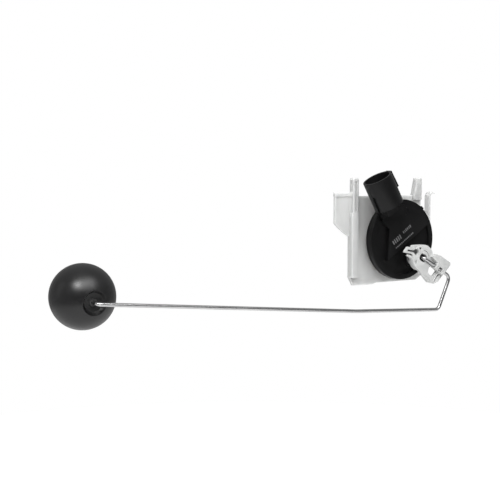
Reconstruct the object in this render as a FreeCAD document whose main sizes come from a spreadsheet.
import FreeCAD, Part
import math
import os
import re

import Sketcher

"""Float level sender: a ball float on a bent wire turns a wiper inside a round housing with a
connector, and the housing sits on a slide-in bracket.

Frame: the origin is on the bracket's back face, at the centre of the round housing. X runs to the
right, Z up, and the housing, the lever and the wire stand off the bracket towards -Y. "Forward" below
is the distance from the back face towards -Y. Angles in the face plane are counter-clockwise from +X,
seen from the front.
"""

V = FreeCAD.Vector
doc = FreeCAD.newDocument("LevelSender")
dims = doc.addObject("Spreadsheet::Sheet", "dims")

SIZES = [
    # the bracket's plate and its rails
    ("plate_left", 36.9), ("plate_right", 31.3), ("plate_top", 29.3), ("plate_bottom", 30.2),
    ("plate_thick", 2.5), ("foot_step", 0.9), ("foot_right", -17.8), ("foot_run", 3.6),
    ("corner_cut_x", 3.2), ("corner_cut_z", 5.6),
    ("right_cut_x", 10.7), ("right_cut_z", 6.0),
    ("rail_width", 5.2), ("rail_forward", 5.3), ("rail_top", 18.5),
    ("post_left", 35.4), ("post_width", 4.3), ("post_forward", 4.4), ("post_top", 41.4),
    ("post_groove", 1.4), ("groove_depth", 0.9), ("post_round", 1.6), ("post_round_left", 1.2),
    ("ear_left", 49.0), ("ear_top", 32.0), ("ear_low", 11.4), ("ear_foot", 2.5), ("ear_back", 0.4),
    ("ear_thick", 1.8), ("ear_lip", 2.7), ("ear_lip_forward", 3.0),
    ("prong_left", 19.5), ("prong_right", 23.6), ("prong_taper", 2.5), ("prong_top", 41.0),
    ("prong_forward", 4.4), ("prong_foot", 26.0), ("prong_round", 0.9),
    ("notch_foot", 14.0), ("notch_left", 24.4),
    ("finger_thick", 1.3), ("finger_forward", 4.8), ("finger_low", -12.0),
    ("finger_top", 31.4), ("finger_bend", 3.6), ("finger_lip", 1.5),
    # the round housing: a rear cup and a front cover that meet at the parting plane
    ("housing_radius", 27.0), ("boss_radius", 22.0), ("rim_rear", 6.9), ("parting", 9.6),
    ("rim_front", 12.4), ("rim_round", 0.5),
    ("cup_floor", 1.4), ("card_bay_radius", 20.0), ("card_bay_front", 7.5), ("rotor_bay_radius", 23.8),
    ("seal_inner", 24.8), ("seal_outer", 25.8), ("seal_thick", 0.6),
    ("stake_circle", 17.0), ("stake_radius", 1.4), ("stake_head", 2.3), ("stake_sunk", 1.1),
    ("stake_gap", 0.1),
    ("recess_radius", 23.4), ("recess_depth", 1.6), ("spigot_depth", 0.8), ("spigot_wall", 1.4),
    ("platform_rise", 1.3), ("platform_chord", 3.8), ("chord_angle", 34.0), ("platform_left", 8.6),
    ("lug_angle", 50.7), ("lug_half", 1.2), ("lug_rise", 0.6),
    ("gate_x", 1.3), ("gate_z", 19.1), ("gate_radius", 2.4), ("gate_depth", 0.3),
    # the connector's round shroud, which leans to the left of vertical
    ("lean", 28.0), ("shroud_tilt", 2.5), ("shroud_shift", -4.9), ("shroud_radius", 9.8),
    ("shroud_bore", 8.5), ("shroud_axis", 19.7), ("shroud_start", 29.0), ("shroud_end", 49.5),
    ("shroud_depth", 16.1), ("neck_half", 5.0),
    ("neck_start", 21.5), ("neck_forward", 15.0), ("spine_half", 4.6), ("spine_start", 23.2),
    ("latch_foot", 37.6), ("latch_rise", 1.45), ("latch_mouth", 0.5), ("latch_half", 2.6),
    ("slot_back", 19.6), ("slot_front", 22.0), ("slot_end", 40.2), ("slot_deep", 0.9),
    # terminals, from the connector's blades to the card
    ("blade_thick", 0.8), ("blade_half", 1.2), ("blade_pitch", 5.2), ("blade_end", 44.0), ("riser", 24.1),
    ("strip_thick", 0.5), ("strip_inner", 17.6), ("slot_gap", 0.05), ("potting", 1.2),
    ("leaf_thick", 0.25), ("leaf_foot", 1.8), ("leaf_lean", 1.2),
    # resistor card with its two printed tracks
    ("card_radius", 19.7), ("card_thick", 0.8), ("card_flat", 16.0), ("track_thick", 0.15),
    ("outer_track", 22.0), ("inner_track", 17.4), ("track_half", 1.0),
    ("track_from", 89.0), ("track_to", 156.0),
    # the pivot, opposite the connector, and what turns on it
    ("pivot_out", 14.65), ("pivot_angle", -55.0), ("wiper_angle", 150.5), ("sweep", 55.0),
    ("journal_radius", 2.0), ("bearing_wall", 1.6), ("bearing_front", 7.0), ("fit_gap", 0.05),
    ("run_gap", 0.3), ("rotor_radius", 7.3), ("rotor_back", 7.85), ("rotor_thick", 1.2),
    ("arm_half", 3.3), ("arm_reach", 24.0),
    ("shaft_radius", 3.6), ("shaft_front", 19.0), ("key_flat", 2.5), ("key_front", 21.4),
    ("post_radius", 1.0), ("post_circle", 14.0), ("stop_gap", 0.3),
    ("bush_wall", 1.0), ("cover_boss", 6.4), ("cover_boss_front", 13.2), ("bush_flange", 0.5),
    ("washer_thick", 0.35), ("clip_groove", 0.6), ("clip_thick", 0.6), ("clip_outer", 5.6),
    ("spring_thick", 0.25), ("spring_back", 13.6), ("spring_half", 0.75), ("prong_gap", 1.7),
    ("contact_radius", 0.6), ("contact_height", 0.4), ("contact_lift", 0.05),
    ("rivet_radius", 0.7), ("rivet_head", 1.2), ("rivet_head_thick", 0.4),
    # the lever clip that holds the wire on the shaft
    ("lever_angle", -30.8), ("hub_radius", 8.8), ("hub_back", 19.3), ("hub_front", 24.0),
    ("web_back", 22.0), ("jaw_front", 23.2), ("finger_front", 22.8), ("saddle_front", 26.7),
    ("jaw_hole", 2.1), ("gauge_hole", 0.95), ("socket_radius", 2.7), ("groove_radius", 4.6),
    ("groove_width", 0.6), ("groove_sunk", 0.8), ("dimple_sunk", 1.4), ("wire_gap", 0.08),
    # the bent wire and its float
    ("wire_radius", 1.15), ("wire_forward", 24.7), ("wire_root", 10.2), ("wire_bend", 4.0),
    ("root_bend", 2.6), ("outer_reach", 27.0), ("elbow_x", 21.6), ("elbow_z", -47.6),
    ("kink_x", -48.0), ("kink_z", -43.6), ("kink_bend", 30.0),
    ("tail_x", -227.4), ("tail_z", -26.3), ("tail_bend", 3.0),
    ("float_radius", 19.0), ("float_wall", 1.3), ("float_stand", 1.3), ("float_tilt", 6.0),
    ("dimple_radius", 7.0), ("dimple_slope", 1.8), ("dimple_depth", 2.2),
    ("tail_recess", 5.6), ("tail_depth", 2.2), ("sleeve_wall", 0.9), ("nut_radius", 4.2), ("nut_thick", 0.5),
    ("tail_proud", 1.6),
]
NAMES = {name for name, _ in SIZES}
for row, (name, size) in enumerate(SIZES, start=1):
    dims.set("A%d" % row, name)
    dims.set("B%d" % row, str(size))
    dims.setAlias("B%d" % row, name)
doc.recompute()


def bound(text):
    """An expression in plain size names, with each name pointed at the sheet."""
    return re.sub(r"[a-z]\w*", lambda m: "dims." + m.group() if m.group() in NAMES else m.group(), text)


def value(text):
    """The number an expression gives now."""
    return float(dims.evalExpression(bound(text)))


# ---------------------------------------------------------------- derived places, as expressions
CARD_BACK = "(plate_thick + cup_floor)"
CARD_FRONT = "(plate_thick + cup_floor + card_thick)"
TRACK_FRONT = "(plate_thick + cup_floor + card_thick + track_thick)"
RECESS_FLOOR = "(rim_front - recess_depth)"
PLATFORM_FRONT = "(rim_front + platform_rise)"
ROTOR_FRONT = "(rotor_back + rotor_thick)"
BUSH_RADIUS = "(shaft_radius + fit_gap + bush_wall)"
RETAINER_BACK = "(cover_boss_front + bush_flange + fit_gap)"
PIVOT_X = "(pivot_out * cos(pivot_angle))"
PIVOT_Z = "(pivot_out * sin(pivot_angle))"
STOP_TURN = "asin((arm_half + post_radius + stop_gap) / post_circle) / (1 deg)"
SLEEVE_BORE = "(wire_radius + wire_gap)"
SLEEVE_RADIUS = "(wire_radius + wire_gap + sleeve_wall)"
DIMPLE_EDGE = "sqrt(float_radius^2 - dimple_radius^2)"
TAIL_EDGE = "sqrt(float_radius^2 - tail_recess^2)"
DISH = "-(%s - dimple_depth)" % DIMPLE_EDGE
TAIL_FLOOR = "(%s - tail_depth)" % TAIL_EDGE
INNER_RADIUS = "(float_radius - float_wall)"
SOCKET_FLOOR = "(shroud_end - shroud_depth * cos(shroud_tilt))"
FLOAT_X = "tail_x"
FLOAT_FORWARD = "(wire_forward - float_radius - float_stand)"
FLOAT_Y = "-" + FLOAT_FORWARD
FLOAT_Z = "(tail_z + (float_radius + float_stand) * tan(float_tilt))"


def around_pivot(reach, angle):
    """A point of the face plane at a distance and an angle from the pivot."""
    return ("%s + (%s) * cos(%s)" % (PIVOT_X, reach, angle), "%s + (%s) * sin(%s)" % (PIVOT_Z, reach, angle))


def leaning(angle, distance, side):
    """A point of the face plane: a distance up a line that leans to the left, and a distance to its right."""
    return ("(%s) * cos(%s) - (%s) * sin(%s)" % (side, angle, distance, angle),
            "(%s) * cos(%s) + (%s) * sin(%s)" % (distance, angle, side, angle))


def along_shroud(distance, side):
    """A point beside the shroud's axis, which passes a little to the left of the housing's centre."""
    return leaning("lean", distance, "%s + shroud_shift" % side)


def shroud_block(low, high, left, right):
    """A rectangle lined up with the shroud."""
    return [along_shroud(low, left), along_shroud(low, right),
            along_shroud(high, right), along_shroud(high, left)]


def box_points(left, low, right, high):
    return [(left, low), (right, low), (right, high), (left, high)]


def track_sector(middle, half, start, end):
    """A band of an arc round the pivot. A third number is the radius of the arc to the next corner."""
    outer, inner = "%s + %s" % (middle, half), "%s - %s" % (middle, half)
    return [around_pivot(outer, start) + (outer,), around_pivot(outer, end),
            around_pivot(inner, end) + ("-(%s)" % inner,), around_pivot(inner, start)]


# ---------------------------------------------------------------- sketch and feature helpers
class Piece:
    """One sub-part: a PartDesign body built from sketches, each bound to the sheet."""

    def __init__(self, label, base=None, turn=None):
        self.body = doc.addObject("PartDesign::Body", label)
        self.body.Label = label
        if base:
            self.body.setExpression("Placement.Base.x", bound(base[0]))
            self.body.setExpression("Placement.Base.z", bound(base[1]))
        if turn:
            self.body.Placement.Rotation = FreeCAD.Rotation(V(0, -1, 0), 1.0)
            self.body.setExpression("Placement.Rotation.Angle", bound(turn))
        self.count = 0

    def plane(self, role):
        return next(o for o in self.body.Origin.OriginFeatures if o.Role == role)

    def sketch(self, role, offset):
        self.count += 1
        sketch = self.body.newObject("Sketcher::SketchObject", "%s_sketch_%d" % (self.body.Name, self.count))
        sketch.AttachmentSupport = (self.plane(role), [""])
        sketch.MapMode = "FlatFace"
        sketch.setExpression("AttachmentOffset.Base.z", bound(offset))
        return sketch

    def feature(self, kind, sketch, length, reverse=False, middle=False):
        name = "%s_%s_%d" % (self.body.Name, kind.lower(), self.count)
        made = self.body.newObject("PartDesign::" + kind, name)
        made.Profile = sketch
        made.setExpression("Length", bound(length))
        if middle:
            made.SideType = "Symmetric"
        made.Reversed = reverse
        sketch.Visibility = False
        return made

    def pad(self, back, front, loops, role="XZ_Plane"):
        """Adds the loops' area from one forward distance to another."""
        sketch = self.sketch(role, back)
        draw(sketch, loops)
        return self.feature("Pad", sketch, "(%s) - (%s)" % (front, back))

    def pocket(self, back, front, loops):
        """Cuts the loops' area between two forward distances."""
        sketch = self.sketch("XZ_Plane", front)
        draw(sketch, loops)
        before = solid_volume(self.body)
        cut = self.feature("Pocket", sketch, "(%s) - (%s)" % (front, back))
        doc.recompute()
        if not solid_volume(self.body) < before - 1e-6:
            raise RuntimeError("%s cuts nothing" % cut.Name)
        return cut

    def side_pad(self, half_width, outline, offset="0"):
        """Adds a profile drawn in the (X, forward) plane, spread to both sides across it."""
        sketch = self.sketch("XY_Plane", offset)
        draw(sketch, [[(x, "-(%s)" % forward) for x, forward in outline]])
        return self.feature("Pad", sketch, "2 * (%s)" % half_width, middle=True)

    def round_edges(self, radius, wanted, kind="Fillet"):
        """Fillets or chamfers every edge that the test picks."""
        doc.recompute()
        tip = self.body.Tip
        names = ["Edge%d" % n for n, edge in enumerate(tip.Shape.Edges, start=1) if wanted(edge)]
        if not names:
            raise RuntimeError("%s has no such edge" % self.body.Label)
        name = "%s_%s_%d" % (self.body.Name, kind.lower(), len(names))
        made = self.body.newObject("PartDesign::" + kind, name)
        made.Base = (tip, names)
        made.setExpression("Radius" if kind == "Fillet" else "Size", bound(radius))
        doc.recompute()
        return made


def solid_volume(body):
    doc.recompute()
    return body.Shape.Volume


def fix(sketch, kind, where, text):
    """A driving dimension of the sketch, bound to the sheet."""
    index = sketch.addConstraint(Sketcher.Constraint(kind, *where, value(text)))
    sketch.setExpression("Constraints[%d]" % index, bound(text))


def draw_circle(sketch, x, z, radius):
    centre = V(value(x), value(z), 0)
    edge = sketch.addGeometry(Part.Circle(centre, V(0, 0, 1), value(radius)))
    fix(sketch, "DistanceX", (-1, 1, edge, 3), x)
    fix(sketch, "DistanceY", (-1, 1, edge, 3), z)
    fix(sketch, "Radius", (edge,), radius)


def draw_outline(sketch, corners):
    """A closed outline. A corner with a third entry starts an arc of that radius, left-handed if negative."""
    spots = [V(value(c[0]), value(c[1]), 0) for c in corners]
    edges = []
    for n, corner in enumerate(corners):
        start, end = spots[n], spots[(n + 1) % len(spots)]
        if len(corner) == 2:
            edges.append((sketch.addGeometry(Part.LineSegment(start, end)), 1, 2))
            continue
        radius = value(corner[2])
        chord = end - start
        side = V(-chord.y, chord.x, 0).normalize() * math.copysign(1, radius)
        drop = math.sqrt(max(radius ** 2 - (chord.Length / 2) ** 2, 0))
        centre = (start + end) / 2 + side * drop
        begin, finish = (start, end) if radius > 0 else (end, start)
        turn = [math.atan2(p.y - centre.y, p.x - centre.x) for p in (begin, finish)]
        circle = Part.Circle(centre, V(0, 0, 1), abs(radius))
        edge = sketch.addGeometry(Part.ArcOfCircle(circle, turn[0], turn[1]))
        fix(sketch, "Radius", (edge,), corner[2].lstrip("-") if radius < 0 else corner[2])
        edges.append((edge, 1, 2) if radius > 0 else (edge, 2, 1))
    for n, (edge, start_point, end_point) in enumerate(edges):
        following = edges[(n + 1) % len(edges)]
        sketch.addConstraint(Sketcher.Constraint("Coincident", edge, end_point, following[0], following[1]))
        fix(sketch, "DistanceX", (-1, 1, edge, start_point), corners[n][0])
        fix(sketch, "DistanceY", (-1, 1, edge, start_point), corners[n][1])


def draw(sketch, loops):
    """Each loop is a circle (x, z, radius) or a list of corners."""
    for loop in loops:
        if isinstance(loop, tuple):
            draw_circle(sketch, *loop)
        else:
            draw_outline(sketch, loop)


def runs_forward(edge):
    """Whether an edge is straight and stands out of the face plane."""
    ends = [v.Point for v in edge.Vertexes]
    return len(ends) == 2 and abs(abs(ends[0].y - ends[1].y) - edge.Length) < 1e-4 and edge.Length > 0.01


def forward_edge_at(x, z):
    """Picks the edges that stand out of the face plane at a point of it."""
    def test(edge):
        spot = edge.Vertexes[0].Point
        return runs_forward(edge) and math.hypot(spot.x - value(x), spot.z - value(z)) < 0.05
    return test


def circle_at(forward, radius):
    """Picks the circular edges of a radius that lie flat at a forward distance."""
    def test(edge):
        return (isinstance(edge.Curve, Part.Circle) and abs(edge.Curve.Radius - value(radius)) < 0.01
                and abs(edge.Curve.Center.y + value(forward)) < 0.01 and abs(edge.Curve.Axis.y) > 0.99)
    return test


# ---------------------------------------------------------------- bracket
STAKES = [("stake_circle * cos(%d)" % a, "stake_circle * sin(%d)" % a) for a in (30, 150, 270)]


def make_bracket():
    piece = Piece("bracket")
    right, inner = "plate_right", "(plate_right - finger_thick)"
    notch_top = "plate_top + 1"
    piece.pad("0", "plate_thick", [[
        ("-plate_left", "corner_cut_z - plate_bottom"), ("corner_cut_x - plate_left", "-plate_bottom"),
        ("foot_right", "-plate_bottom"), ("foot_right + foot_run", "foot_step - plate_bottom"),
        ("plate_right - right_cut_x", "foot_step - plate_bottom"),
        (right, "foot_step - plate_bottom + right_cut_z"), (right, "notch_foot"),
        ("notch_left", "notch_foot"), ("notch_left", "plate_top"), ("-plate_left", "plate_top")]])
    piece.pad("0", "rail_forward", [box_points(
        "-plate_left", "corner_cut_z - plate_bottom", "rail_width - plate_left", "rail_top")])
    piece.pad("0", "post_forward", [box_points(
        "-post_left", "rail_top - 2", "post_width - post_left", "post_top")])
    middle = "(post_width / 2 - post_left)"
    piece.pocket("post_forward - groove_depth", "post_forward", [box_points(
        middle + " - post_groove / 2", "rail_top + 1.5", middle + " + post_groove / 2", "post_top - 2.2")])
    ear = [("-plate_left", "ear_foot"), ("-plate_left", "ear_top"), ("-ear_left", "ear_top"),
           ("-ear_left", "ear_low", "4 * (ear_left - plate_left)")]
    piece.pad("ear_back", "ear_back + ear_thick", [ear])
    piece.pad("0", "ear_lip_forward", [
        box_points("-ear_left", "ear_top - ear_lip", "1 - post_left", "ear_top")])
    piece.pad("0", "prong_forward", [[
        ("prong_left - prong_taper", "prong_foot"), ("prong_right", "prong_foot"),
        ("prong_right", "prong_top"), ("prong_left", "prong_top"),
        ("prong_left - prong_taper", "plate_top")]])
    bend_top, arc_x = "(finger_top - finger_bend)", "(%s + finger_bend)" % inner
    piece.pad("0", "finger_forward", [[
        (right, "finger_low"), (right, bend_top, "-(finger_bend - finger_thick)"),
        (arc_x, "finger_top - finger_thick"), (arc_x + " + finger_lip", "finger_top - finger_thick"),
        (arc_x + " + finger_lip - 0.8", "finger_top"),
        (arc_x, "finger_top", "finger_bend"), (inner, bend_top), (inner, "finger_low")]])
    for x, z in STAKES:
        piece.pocket("0", "plate_thick", [(x, z, "stake_radius + stake_gap")])
        piece.pocket("0", "stake_sunk + stake_gap", [(x, z, "stake_head + stake_gap")])
    piece.round_edges("post_round", forward_edge_at("post_width - post_left", "post_top"))
    piece.round_edges("post_round_left", forward_edge_at("-post_left", "post_top"))
    piece.round_edges("prong_round", forward_edge_at("prong_right", "prong_top"))
    piece.round_edges("prong_round", forward_edge_at("prong_left", "prong_top"))
    return piece


# ---------------------------------------------------------------- housing
def make_housing_body():
    piece = Piece("housing_body")
    piece.pad("plate_thick", "rim_rear + 0.5", [("0", "0", "boss_radius")])
    piece.pad("rim_rear", "parting", [("0", "0", "housing_radius")])
    piece.pocket("card_bay_front", "parting", [("0", "0", "rotor_bay_radius")])
    piece.pocket(CARD_BACK, "card_bay_front", [("0", "0", "card_bay_radius")])
    piece.pad(CARD_BACK + " - 0.2", "bearing_front", [
        (PIVOT_X, PIVOT_Z, "journal_radius + fit_gap + bearing_wall")])
    piece.pocket("plate_thick + 0.8", "bearing_front", [(PIVOT_X, PIVOT_Z, "journal_radius + fit_gap")])
    for angle in ("wiper_angle + " + STOP_TURN, "wiper_angle - sweep - " + STOP_TURN):
        x, z = around_pivot("post_circle", angle)
        piece.pad(CARD_BACK + " - 0.2", ROTOR_FRONT, [(x, z, "post_radius")])
    piece.pocket("parting - seal_thick", "parting", [("0", "0", "seal_inner"), ("0", "0", "seal_outer")])
    for x, z in STAKES:
        piece.pad("stake_sunk", "plate_thick + 0.2", [(x, z, "stake_radius")])
        piece.pad("stake_gap", "stake_sunk", [(x, z, "stake_head")])
    piece.round_edges("rim_round", circle_at("rim_rear", "housing_radius"))
    return piece


def platform_outline():
    """The raised part of the cover: a straight slanting front edge, and a stepped left side."""
    reach = "sqrt(recess_radius^2 - platform_chord^2)"
    corners = [("-platform_chord", "-0.82 * " + reach), ("-platform_chord", reach),
               ("sqrt(recess_radius^2 - platform_left^2)", "-platform_left"),
               ("0.78 * recess_radius", "-0.33 * recess_radius"),
               ("0.56 * recess_radius", "-0.26 * recess_radius")]
    outline = [leaning("chord_angle", distance, side) for distance, side in corners]
    outline[1] += ("recess_radius",)
    return outline


def lug_outline():
    """A small block on the cover's edge, square to the radius."""
    corners = (("housing_radius - 2", "-lug_half"), ("housing_radius + lug_rise", "-lug_half"),
               ("housing_radius + lug_rise", "lug_half"), ("housing_radius - 2", "lug_half"))
    return [("(%s) * cos(lug_angle) - (%s) * sin(lug_angle)" % (reach, side),
             "(%s) * sin(lug_angle) + (%s) * cos(lug_angle)" % (reach, side)) for reach, side in corners]


def make_front_cover():
    piece = Piece("front_cover")
    piece.pad("parting", "rim_front", [("0", "0", "housing_radius")])
    piece.pad("parting", "rim_front", [lug_outline()])
    piece.pad("parting - spigot_depth", "parting + 0.2", [
        ("0", "0", "rotor_bay_radius - fit_gap"), ("0", "0", "rotor_bay_radius - spigot_wall")])
    piece.pocket(RECESS_FLOOR, "rim_front", [("0", "0", "recess_radius")])
    piece.pad(RECESS_FLOOR + " - 0.2", PLATFORM_FRONT, [platform_outline()])
    piece.pad("parting", "cover_boss_front", [(PIVOT_X, PIVOT_Z, "cover_boss")])
    piece.pad("parting", "neck_forward", [
        shroud_block("neck_start", "shroud_start + 1", "-neck_half", "neck_half")])
    piece.pad("parting", "shroud_axis + blade_thick + 1", [
        shroud_block("spine_start", "shroud_start + 1", "-spine_half", "spine_half")])
    shroud = piece.sketch("XY_Plane", "0")
    place_on_shroud(shroud, "shroud_start")
    draw_circle(shroud, "0", "0", "shroud_radius")
    piece.feature("Pad", shroud, "shroud_end - shroud_start")
    piece.pad("shroud_axis - latch_half", "shroud_axis + latch_half", [[
        along_shroud("latch_foot", "shroud_radius - 0.8"),
        along_shroud("latch_foot", "shroud_radius + latch_rise"),
        along_shroud("shroud_end", "shroud_radius + latch_mouth"),
        along_shroud("shroud_end", "shroud_radius - 0.8")]])
    bore = piece.sketch("XY_Plane", "0")
    place_on_shroud(bore, "shroud_end")
    draw_circle(bore, "0", "0", "shroud_bore")
    piece.feature("Pocket", bore, "shroud_depth")
    piece.pocket("slot_back", "slot_front", [
        shroud_block("shroud_start", "slot_end", "-shroud_radius - 1", "slot_deep - shroud_radius")])
    for side in ("-blade_pitch / 2", "blade_pitch / 2"):
        left, right = side + " - blade_half - slot_gap", side + " + blade_half + slot_gap"
        inner, outer = "strip_inner - slot_gap", "riser + strip_thick + slot_gap"
        piece.pocket("parting", "parting + strip_thick + slot_gap", [shroud_block(inner, outer, left, right)])
        piece.pocket("parting", "shroud_axis + blade_thick / 2 + slot_gap", [
            shroud_block("riser - slot_gap", outer, left, right)])
        piece.pocket("shroud_axis - blade_thick / 2 - slot_gap", "shroud_axis + blade_thick / 2 + slot_gap", [
            shroud_block("riser - slot_gap", "shroud_end - shroud_depth + 0.2", left, right)])
    piece.pocket("parting", "cover_boss_front", [(PIVOT_X, PIVOT_Z, BUSH_RADIUS + " + fit_gap / 2")])
    piece.pocket(PLATFORM_FRONT + " - gate_depth", PLATFORM_FRONT, [("gate_x", "gate_z", "gate_radius")])
    piece.round_edges("rim_round", circle_at("rim_front", "housing_radius"))
    return piece


def place_on_shroud(sketch, distance):
    """Puts a sketch of the XY plane square across the shroud's axis, at a distance up it."""
    x, z = along_shroud(distance, "0")
    back = "(%s - shroud_start) * tan(shroud_tilt) - shroud_axis" % distance
    lean = "rotation(vector(0; -1; 0); lean) * rotation(vector(1; 0; 0); -shroud_tilt)"
    sketch.setExpression("AttachmentOffset", bound("placement(vector(%s; %s; %s); %s)" % (x, back, z, lean)))


def make_housing_seal():
    piece = Piece("housing_seal")
    piece.pad("parting - seal_thick", "parting", [
        ("0", "0", "seal_outer - fit_gap"), ("0", "0", "seal_inner + fit_gap")])
    return piece


# ---------------------------------------------------------------- resistor card and terminals
def make_resistor_card():
    piece = Piece("resistor_card")
    piece.pad(CARD_BACK, CARD_FRONT, [("0", "0", "card_radius")])
    for side in ("-1", "1"):
        far = "%s * (card_radius + 1)" % side
        near = "%s * card_flat" % side
        low, high = "-card_radius", "card_radius"
        piece.pocket(CARD_BACK, CARD_FRONT, [[(near, low), (far, low), (far, high), (near, high)]])
    piece.pocket(CARD_BACK, CARD_FRONT, [
        (PIVOT_X, PIVOT_Z, "journal_radius + fit_gap + bearing_wall + 0.2")])
    for angle in ("wiper_angle + " + STOP_TURN, "wiper_angle - sweep - " + STOP_TURN):
        x, z = around_pivot("post_circle", angle)
        piece.pocket(CARD_BACK, CARD_FRONT, [(x, z, "post_radius + 0.2")])
    return piece


def make_resistor_track():
    """The carbon track, with its silver lead up the left side to the signal pad."""
    piece = Piece("resistor_track")
    piece.pad(CARD_FRONT, TRACK_FRONT, [
        track_sector("outer_track", "track_half", "track_from + 3", "track_to")])
    foot = around_pivot("outer_track", "track_to")
    left = "1.4 - card_flat"
    pad_x, pad_z = along_shroud("strip_inner - leaf_lean - leaf_foot / 2", "-blade_pitch / 2")
    piece.pad(CARD_FRONT, TRACK_FRONT, [[
        (left, foot[1]), (foot[0] + " + 0.4", foot[1]), (left + " + 1.5", foot[1] + " + 2"),
        (left + " + 1.5", pad_z + " - 1.4"), (pad_x + " + 1.3", pad_z + " - 1.4"),
        (pad_x + " + 1.3", pad_z + " + 1.3"),
        (left, pad_z + " + 1.3")]])
    return piece


def make_contact_track():
    """The silver return track, with its lead round the end of the carbon track to the ground pad."""
    piece = Piece("contact_track")
    piece.pad(CARD_FRONT, TRACK_FRONT, [
        track_sector("inner_track", "track_half", "track_from - 2", "track_to")])
    low = around_pivot("inner_track", "track_from - 2")
    high = around_pivot("outer_track + 4.4", "track_from - 2")
    pad_x, pad_z = along_shroud("strip_inner - leaf_lean - leaf_foot / 2", "blade_pitch / 2")
    piece.pad(CARD_FRONT, TRACK_FRONT, [[
        low, (low[0] + " + 1.2", low[1]), (high[0] + " + 1.2", high[1] + " + 1.2"),
        (pad_x + " - 1.3", pad_z + " + 1.3"), (pad_x + " - 1.3", pad_z + " - 1.2"), high]])
    return piece


def make_terminal(label, side):
    """A stamped strip: blade up the shroud, riser back through the neck, strip along the cover's inside."""
    piece = Piece(label, base=along_shroud("0", "0"), turn="90 + lean")
    back, front = "shroud_axis - blade_thick / 2", "shroud_axis + blade_thick / 2"
    piece.side_pad("blade_half", [
        ("strip_inner", "parting"), ("riser + strip_thick", "parting"), ("riser + strip_thick", back),
        ("blade_end", back), ("blade_end", front), ("riser", front), ("riser", "parting + strip_thick"),
        ("strip_inner", "parting + strip_thick")], offset=side)
    return piece


def make_card_contact(label, side):
    """A leaf that presses on the card's pad and is welded under the terminal's strip."""
    piece = Piece(label, base=along_shroud("0", "0"), turn="90 + lean")
    piece.side_pad("blade_half - 0.3", [
        ("strip_inner + leaf_foot", "parting"), ("strip_inner", "parting"),
        ("strip_inner - leaf_lean", TRACK_FRONT + " + leaf_thick"),
        ("strip_inner - leaf_lean - leaf_foot", TRACK_FRONT + " + leaf_thick"),
        ("strip_inner - leaf_lean - leaf_foot", TRACK_FRONT),
        ("strip_inner - leaf_lean + leaf_thick", TRACK_FRONT),
        ("strip_inner + leaf_thick", "parting - leaf_thick"),
        ("strip_inner + leaf_foot", "parting - leaf_thick"),
    ], offset=side)
    return piece


def make_terminal_seal():
    """Potting that fills the bottom of the shroud round the two blades."""
    piece = Piece("terminal_seal")
    floor = SOCKET_FLOOR
    disc = piece.sketch("XY_Plane", "0")
    place_on_shroud(disc, floor)
    draw_circle(disc, "0", "0", "shroud_bore - fit_gap")
    piece.feature("Pad", disc, "potting")
    for side in ("-blade_pitch / 2", "blade_pitch / 2"):
        piece.pocket("shroud_axis - blade_thick / 2", "shroud_axis + blade_thick / 2", [
            shroud_block(floor + " - 1", floor + " + potting + 1",
                         side + " - blade_half", side + " + blade_half")])
    return piece


# ---------------------------------------------------------------- what turns on the pivot
PIVOT = (PIVOT_X, PIVOT_Z)


def key_outline(gap):
    """The shaft's double-D key. The lever clip's socket is the same shape with a gap."""
    radius, flat = "(shaft_radius - 0.4 + %s)" % gap, "(key_flat + %s)" % gap
    half = "sqrt(%s^2 - %s^2)" % (radius, flat)
    return [(half, "-" + flat, radius), (half, flat), ("-" + half, flat, radius), ("-" + half, "-" + flat)]


def make_pivot_bush():
    piece = Piece("pivot_bush")
    bore = (PIVOT_X, PIVOT_Z, "shaft_radius + fit_gap")
    piece.pad("parting", "cover_boss_front", [(PIVOT_X, PIVOT_Z, BUSH_RADIUS), bore])
    piece.pad("cover_boss_front", "cover_boss_front + bush_flange", [
        (PIVOT_X, PIVOT_Z, "cover_boss - 0.6"), bore])
    return piece


def make_thrust_washer():
    piece = Piece("thrust_washer")
    piece.pad("parting - washer_thick", "parting", [
        (PIVOT_X, PIVOT_Z, "rotor_radius - 1"), (PIVOT_X, PIVOT_Z, "shaft_radius + fit_gap")])
    return piece


def make_rotor():
    """Journal, round plate with the wiper arm, and the shaft with its key, bored for the wire's end."""
    piece = Piece("rotor", base=PIVOT, turn="wiper_angle")
    piece.pad("plate_thick + 1", "rotor_back + 0.2", [("0", "0", "journal_radius")])
    piece.pad("rotor_back", ROTOR_FRONT, [("0", "0", "rotor_radius")])
    piece.pad("rotor_back", ROTOR_FRONT, [[
        ("0", "-arm_half"), ("arm_reach - arm_half", "-arm_half", "1.05 * arm_half"),
        ("arm_reach - arm_half", "arm_half"), ("0", "arm_half")]])
    piece.pad("rotor_back + 0.4", "shaft_front", [("0", "0", "shaft_radius")])
    key = piece.sketch("XZ_Plane", "shaft_front")
    key.AttachmentOffset = FreeCAD.Placement(V(0, 0, 0), FreeCAD.Rotation(V(0, 0, 1), 1.0))
    key.setExpression("AttachmentOffset.Base.z", bound("shaft_front"))
    key.setExpression("AttachmentOffset.Rotation.Angle", bound("lever_angle - wiper_angle + 360"))
    draw_outline(key, key_outline("0"))
    piece.feature("Pad", key, "key_front - shaft_front")
    groove = ("0", "0", "shaft_radius + 0.5"), ("0", "0", "shaft_radius - clip_groove")
    piece.pocket(RETAINER_BACK, RETAINER_BACK + " + clip_thick + fit_gap", list(groove))
    piece.pocket("wire_root - 0.4", "key_front", [("0", "0", "wire_radius + wire_gap")])
    for x in RIVETS:
        piece.pocket("rotor_back", ROTOR_FRONT, [(x, "0", "rivet_radius + 0.03")])
    return piece


RIVETS = ("spring_back - 3.9", "spring_back - 1.4")


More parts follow.
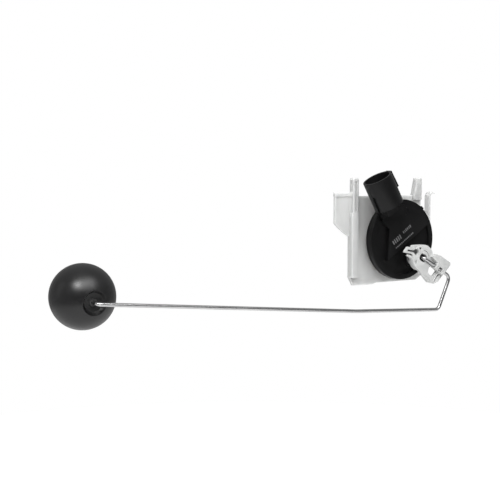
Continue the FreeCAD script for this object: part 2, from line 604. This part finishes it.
def make_wiper_spring():
    """A bronze leaf riveted under the arm, with one finger down to each track."""
    piece = Piece("wiper_spring", base=PIVOT, turn="wiper_angle")
    piece.pad("rotor_back - spring_thick", "rotor_back", [box_points(
        "spring_back - 5.2", "0.5 - arm_half", "spring_back", "arm_half - 0.5")])
    for x in RIVETS:
        piece.pocket("rotor_back - spring_thick", "rotor_back", [(x, "0", "rivet_radius + 0.03")])
    tip = TRACK_FRONT + " + contact_lift + contact_height"
    for track, offset in (("inner_track", "prong_gap"), ("outer_track", "-prong_gap")):
        piece.side_pad("spring_half", [
            ("spring_back - 1", "rotor_back"), ("spring_back - 1", "rotor_back - spring_thick"),
            ("spring_back", "rotor_back - spring_thick"), (track + " - 0.8", tip), (track + " + 0.8", tip),
            (track + " + 0.8", tip + " + spring_thick"), (track + " - 0.7", tip + " + spring_thick"),
            ("spring_back + 0.1", "rotor_back")], offset=offset)
    return piece


def make_wiper_contacts():
    group = []
    for n, (track, z) in enumerate((("inner_track", "prong_gap"), ("outer_track", "-prong_gap")), start=1):
        pin = doc.addObject("Part::Cylinder", "contact_pin_%d" % n)
        pin.setExpression("Radius", bound("contact_radius"))
        pin.setExpression("Height", bound("contact_height"))
        pin.Placement.Rotation = FreeCAD.Rotation(V(1, 0, 0), 90)
        pin.setExpression("Placement.Base.x", bound(track))
        pin.setExpression("Placement.Base.y", bound("-(%s + contact_lift)" % TRACK_FRONT))
        pin.setExpression("Placement.Base.z", bound(z))
        group.append(pin)
    return compound("wiper_contacts", group)


def make_wiper_rivets():
    group = []
    for n, x in enumerate(RIVETS, start=1):
        rivet = []
        for part, radius, back, front in (
                ("head", "rivet_head", "rotor_back - spring_thick - rivet_head_thick",
                 "rotor_back - spring_thick"),
                ("shank", "rivet_radius", "rotor_back - spring_thick - 0.1", ROTOR_FRONT)):
            rod = doc.addObject("Part::Cylinder", "rivet_%s_%d" % (part, n))
            rod.setExpression("Radius", bound(radius))
            rod.setExpression("Height", bound("(%s) - (%s)" % (front, back)))
            rod.Placement.Rotation = FreeCAD.Rotation(V(1, 0, 0), 90)
            rod.setExpression("Placement.Base.x", bound(x))
            rod.setExpression("Placement.Base.y", bound("-(%s)" % back))
            rivet.append(rod)
        fuse = doc.addObject("Part::Fuse", "rivet_%d" % n)
        fuse.Base, fuse.Tool = rivet
        group.append(fuse)
    return compound("wiper_rivets", group)


def compound(label, group):
    """Several separate solids in one node, on the pivot and turned with the wiper."""
    made = doc.addObject("Part::Compound", label)
    made.Label = label
    made.Links = group
    made.Placement = FreeCAD.Placement(V(0, 0, 0), FreeCAD.Rotation(V(0, -1, 0), 1.0))
    made.setExpression("Placement.Base.x", bound(PIVOT_X))
    made.setExpression("Placement.Base.z", bound(PIVOT_Z))
    made.setExpression("Placement.Rotation.Angle", bound("wiper_angle"))
    return made


def make_retaining_clip():
    """An E-shaped spring clip in the shaft's groove, open on one side."""
    piece = Piece("retaining_clip", base=PIVOT, turn="lever_angle")
    front = RETAINER_BACK + " + clip_thick"
    piece.pad(RETAINER_BACK, front, [
        ("0", "0", "clip_outer"), ("0", "0", "shaft_radius - clip_groove + fit_gap")])
    piece.pocket(RETAINER_BACK, front, [box_points(
        "-clip_outer - 1", "0.7 - shaft_radius + clip_groove", "0", "shaft_radius - clip_groove - 0.7")])
    return piece


# ---------------------------------------------------------------- lever clip
# Outlines of the lever, with the first number along the wire from the pivot and the second across it.
WEB = [("3", "4.4"), ("9", "7.2"), ("20", "7.4"), ("21.4", "5.4"), ("21.6", "-1.5"), ("20", "-7.6"),
       ("17.3", "-10.6"), ("12.3", "-12.1"), ("9.2", "-11.3"), ("3.7", "-9.9"), ("0", "-8.6")]
WEB_WINDOW = [("8.3", "-1.6"), ("14.2", "-1.6"), ("15.3", "-2.3"), ("13.7", "-7.4"), ("8.6", "-6.5"),
              ("8", "-4")]
WEB_SLOT = [("15.8", "-9.1"), ("17.9", "-9"), ("18.5", "-2.9"), ("16.5", "-2.9")]
SADDLE = [("4.6", "3.4"), ("10.9", "2.2"), ("10.9", "-2.4"), ("19.8", "-2.4"), ("20.2", "0"),
          ("21", "2.9"), ("21.7", "6.2"), ("21.3", "7.1"), ("20.3", "7.8"), ("10.2", "7.5"),
          ("7.2", "6.8"), ("5.2", "5.5")]
SADDLE_WINDOW = ("13.7", "-1.9", "17.1", "0.9")
JAW = [("-5.5", "6.4"), ("-8", "5.7"), ("-10.6", "4.1"), ("-12.6", "2.8"), ("-12.7", "1.3"),
       ("-15.6", "0"), ("-16.5", "-3.7"), ("-16", "-4.5"), ("-13.5", "-3.6"), ("-9.6", "-2.1"),
       ("-8.4", "-2.6"), ("-6", "-2.8")]
JAW_SLOT = [("-14.3", "-1.4"), ("-8.5", "0.9"), ("-8.5", "-0.4"), ("-13.9", "-2.4")]
JAW_RELIEF = ("-10", "-2.4", "-4.2", "5.2")
FINGER = [("-7", "-5"), ("-7", "-3.4"), ("-10.6", "-3.5"), ("-12.5", "-4.2"), ("-12.4", "-5.2"),
          ("-10.6", "-5")]
DIMPLE = [("-5", "-5"), ("-4.3", "-6.2", "0.67"), ("-3.2", "-5.6"), ("-3.9", "-4.4", "0.67")]


def make_lever_clip():
    """A moulded lever: keyed hub, spare snap jaws behind it, and an open web whose saddle holds the wire."""
    piece = Piece("lever_clip", base=PIVOT, turn="lever_angle")
    piece.pad("hub_back", "hub_front", [("0", "0", "hub_radius")])
    piece.pad("web_back", "hub_front", [WEB])
    piece.pad("web_back", "saddle_front", [SADDLE])
    piece.pad("web_back", "jaw_front", [JAW])
    piece.pad("web_back - 0.4", "finger_front", [FINGER])
    piece.pocket("web_back", "jaw_front", [JAW_SLOT])
    piece.pocket("hub_back", "hub_front", [("-7.2", "0.6", "jaw_hole")])
    piece.pocket("hub_back", "hub_front", [("-5.4", "4.1", "gauge_hole")])
    piece.pocket("hub_back", "web_back", [box_points(*JAW_RELIEF)])
    piece.pocket("hub_front - dimple_sunk", "hub_front", [DIMPLE])
    inner, outer = "groove_radius", "(groove_radius + groove_width)"
    piece.pocket("hub_front - groove_sunk", "hub_front", [[
        (outer + " * cos(25)", outer + " * sin(25)", outer), (outer + " * cos(115)", outer + " * sin(115)"),
        (inner + " * cos(115)", inner + " * sin(115)", "-(%s)" % inner),
        (inner + " * cos(25)", inner + " * sin(25)")]])
    piece.pocket("web_back", "hub_front", [WEB_WINDOW])
    piece.pocket("web_back", "hub_front", [WEB_SLOT])
    piece.pocket("hub_back", "hub_front", [key_outline("fit_gap")])
    piece.pocket("key_front + 0.2", "hub_front", [("0", "0", "socket_radius")])
    low, high = "-wire_radius - wire_gap", "wire_radius + wire_gap"
    floor = "wire_forward - wire_radius - wire_gap"
    piece.pocket(floor, "wire_forward + wire_radius + wire_gap", [box_points("0", low, "26", high)])
    piece.pocket(floor, "saddle_front", [box_points(*SADDLE_WINDOW)])
    return piece


# ---------------------------------------------------------------- wire and float
def bent_wire(points, radii, radius):
    """A round wire along straight runs joined by tangent arcs."""
    edges, start = [], points[0]
    for n, bend in enumerate(radii, start=1):
        here = points[n]
        back, ahead = (points[n - 1] - here).normalize(), (points[n + 1] - here).normalize()
        half = back.getAngle(ahead) / 2
        cut = bend / math.tan(half)
        first, last = here + back * cut, here + ahead * cut
        middle = here + (back + ahead).normalize() * (bend / math.sin(half) - bend)
        edges += [Part.LineSegment(start, first).toShape(), Part.Arc(first, middle, last).toShape()]
        start = last
    edges.append(Part.LineSegment(start, points[-1]).toShape())
    path = Part.Wire(edges)
    ring = Part.Wire([Part.Circle(points[0], points[1] - points[0], radius).toShape()])
    return path.makePipeShell([ring], True, False), path.Length


def make_float_arm():
    """The wire: out of the rotor, along the lever, down and back to the left, and through the float."""
    def spot(x, z):
        return V(value(x), -value("wire_forward"), value(z))

    root = spot(*PIVOT)
    tail = spot("tail_x", "tail_z")
    tilt = math.radians(value("float_tilt"))
    reach = (value("float_radius + float_stand") / math.cos(tilt)
             + value(TAIL_EDGE) + value("tail_proud"))
    points = [V(root.x, -value("wire_root"), root.z), root, spot(*around_pivot("outer_reach", "lever_angle")),
              spot("elbow_x", "elbow_z"), spot("kink_x", "kink_z"), tail,
              tail + V(0, math.cos(tilt), math.sin(tilt)) * reach]
    bends = [value(name) for name in ("root_bend", "wire_bend", "wire_bend", "kink_bend", "tail_bend")]
    shape, length = bent_wire(points, bends, value("wire_radius"))
    expected = math.pi * value("wire_radius") ** 2 * length
    print("float_arm: %.1f mm of wire, volume off by %.4f%%" % (length, 100 * (shape.Volume / expected - 1)))
    wire = doc.addObject("Part::Feature", "float_arm")
    wire.Label = "float_arm"
    wire.Shape = shape
    return wire


def turned_about_float(label, outline):
    """A body of revolution about the wire's end, in the float's own frame (X outwards, Y back)."""
    piece = Piece(label, base=(FLOAT_X, FLOAT_Z))
    piece.body.Placement.Rotation = FreeCAD.Rotation(V(1, 0, 0), 1.0)
    piece.body.setExpression("Placement.Base.y", bound(FLOAT_Y))
    piece.body.setExpression("Placement.Rotation.Angle", bound("float_tilt"))
    sketch = piece.sketch("XY_Plane", "0")
    draw_outline(sketch, outline)
    turn = piece.body.newObject("PartDesign::Revolution", label + "_turn")
    turn.Profile = sketch
    turn.ReferenceAxis = (sketch, ["V_Axis"])
    turn.Angle = 360
    sketch.Visibility = False
    return piece


def make_float_front_shell():
    """The front half of the hollow ball, dished round the wire. It is welded to the rear half."""
    lip = "(dimple_radius + 0.8 * float_wall)"
    return turned_about_float("float_front_shell", [
        (SLEEVE_RADIUS, DISH), ("dimple_radius - dimple_slope", DISH),
        ("dimple_radius", "-" + DIMPLE_EDGE, "float_radius"),
        ("float_radius", "0"), (INNER_RADIUS, "0", "-" + INNER_RADIUS),
        (lip, "-sqrt(%s^2 - %s^2)" % (INNER_RADIUS, lip)),
        ("dimple_radius - dimple_slope", DISH + " + float_wall"),
        (SLEEVE_RADIUS, DISH + " + float_wall")])


def make_float_rear_shell():
    """The rear half of the hollow ball, recessed for the nut."""
    lip = "(tail_recess + float_wall)"
    return turned_about_float("float_rear_shell", [
        (SLEEVE_RADIUS, TAIL_FLOOR), (SLEEVE_RADIUS, TAIL_FLOOR + " - float_wall"),
        (lip, TAIL_FLOOR + " - float_wall"),
        (lip, "sqrt(%s^2 - %s^2)" % (INNER_RADIUS, lip), "-" + INNER_RADIUS),
        (INNER_RADIUS, "0"), ("float_radius", "0", "float_radius"), ("tail_recess", TAIL_EDGE),
        ("tail_recess", TAIL_FLOOR)])


def make_float_sleeve():
    return turned_about_float("float_sleeve", [
        (SLEEVE_BORE, DISH), (SLEEVE_RADIUS, DISH), (SLEEVE_RADIUS, TAIL_FLOOR), (SLEEVE_BORE, TAIL_FLOOR)])


def make_float_nut():
    """A push-on nut on the wire's tail: a dished spring washer, clear of the turning float."""
    start = "(%s + run_gap)" % TAIL_FLOOR
    return turned_about_float("float_nut", [
        ("wire_radius + 0.02", start + " + 0.5"), ("wire_radius + 1", start), ("nut_radius", start),
        ("nut_radius", start + " + nut_thick"), ("wire_radius + 1.2", start + " + nut_thick"),
        ("wire_radius + 0.02", start + " + nut_thick + 0.5")])


# ---------------------------------------------------------------- build, check and write
pieces = [
    make_bracket(), make_housing_body(), make_front_cover(), make_housing_seal(), make_resistor_card(),
    make_resistor_track(), make_contact_track(),
    make_terminal("terminal_signal", "blade_pitch / 2"), make_terminal("terminal_ground", "-blade_pitch / 2"),
    make_card_contact("card_contact_signal", "blade_pitch / 2"),
    make_card_contact("card_contact_ground", "-blade_pitch / 2"),
    make_terminal_seal(), make_pivot_bush(), make_thrust_washer(), make_rotor(), make_wiper_spring(),
    make_wiper_contacts(), make_wiper_rivets(), make_retaining_clip(), make_lever_clip(), make_float_arm(),
    make_float_front_shell(), make_float_rear_shell(), make_float_sleeve(), make_float_nut(),
]
nodes = [piece.body if isinstance(piece, Piece) else piece for piece in pieces]
doc.recompute()

failed = [o.Name for o in doc.Objects if "Invalid" in o.State or "Error" in o.State]
failed += [n.Label for n in nodes if n.Shape.isNull() or not n.Shape.isValid() or n.Shape.Volume <= 0]
if failed:
    raise RuntimeError("failed: " + ", ".join(failed))

os.makedirs("parts", exist_ok=True)
for node in nodes:
    node.Shape.exportStep("parts/%s.step" % node.Label)
    print("%-20s %d solid(s) %9.2f mm3" % (node.Label, len(node.Shape.Solids), node.Shape.Volume))
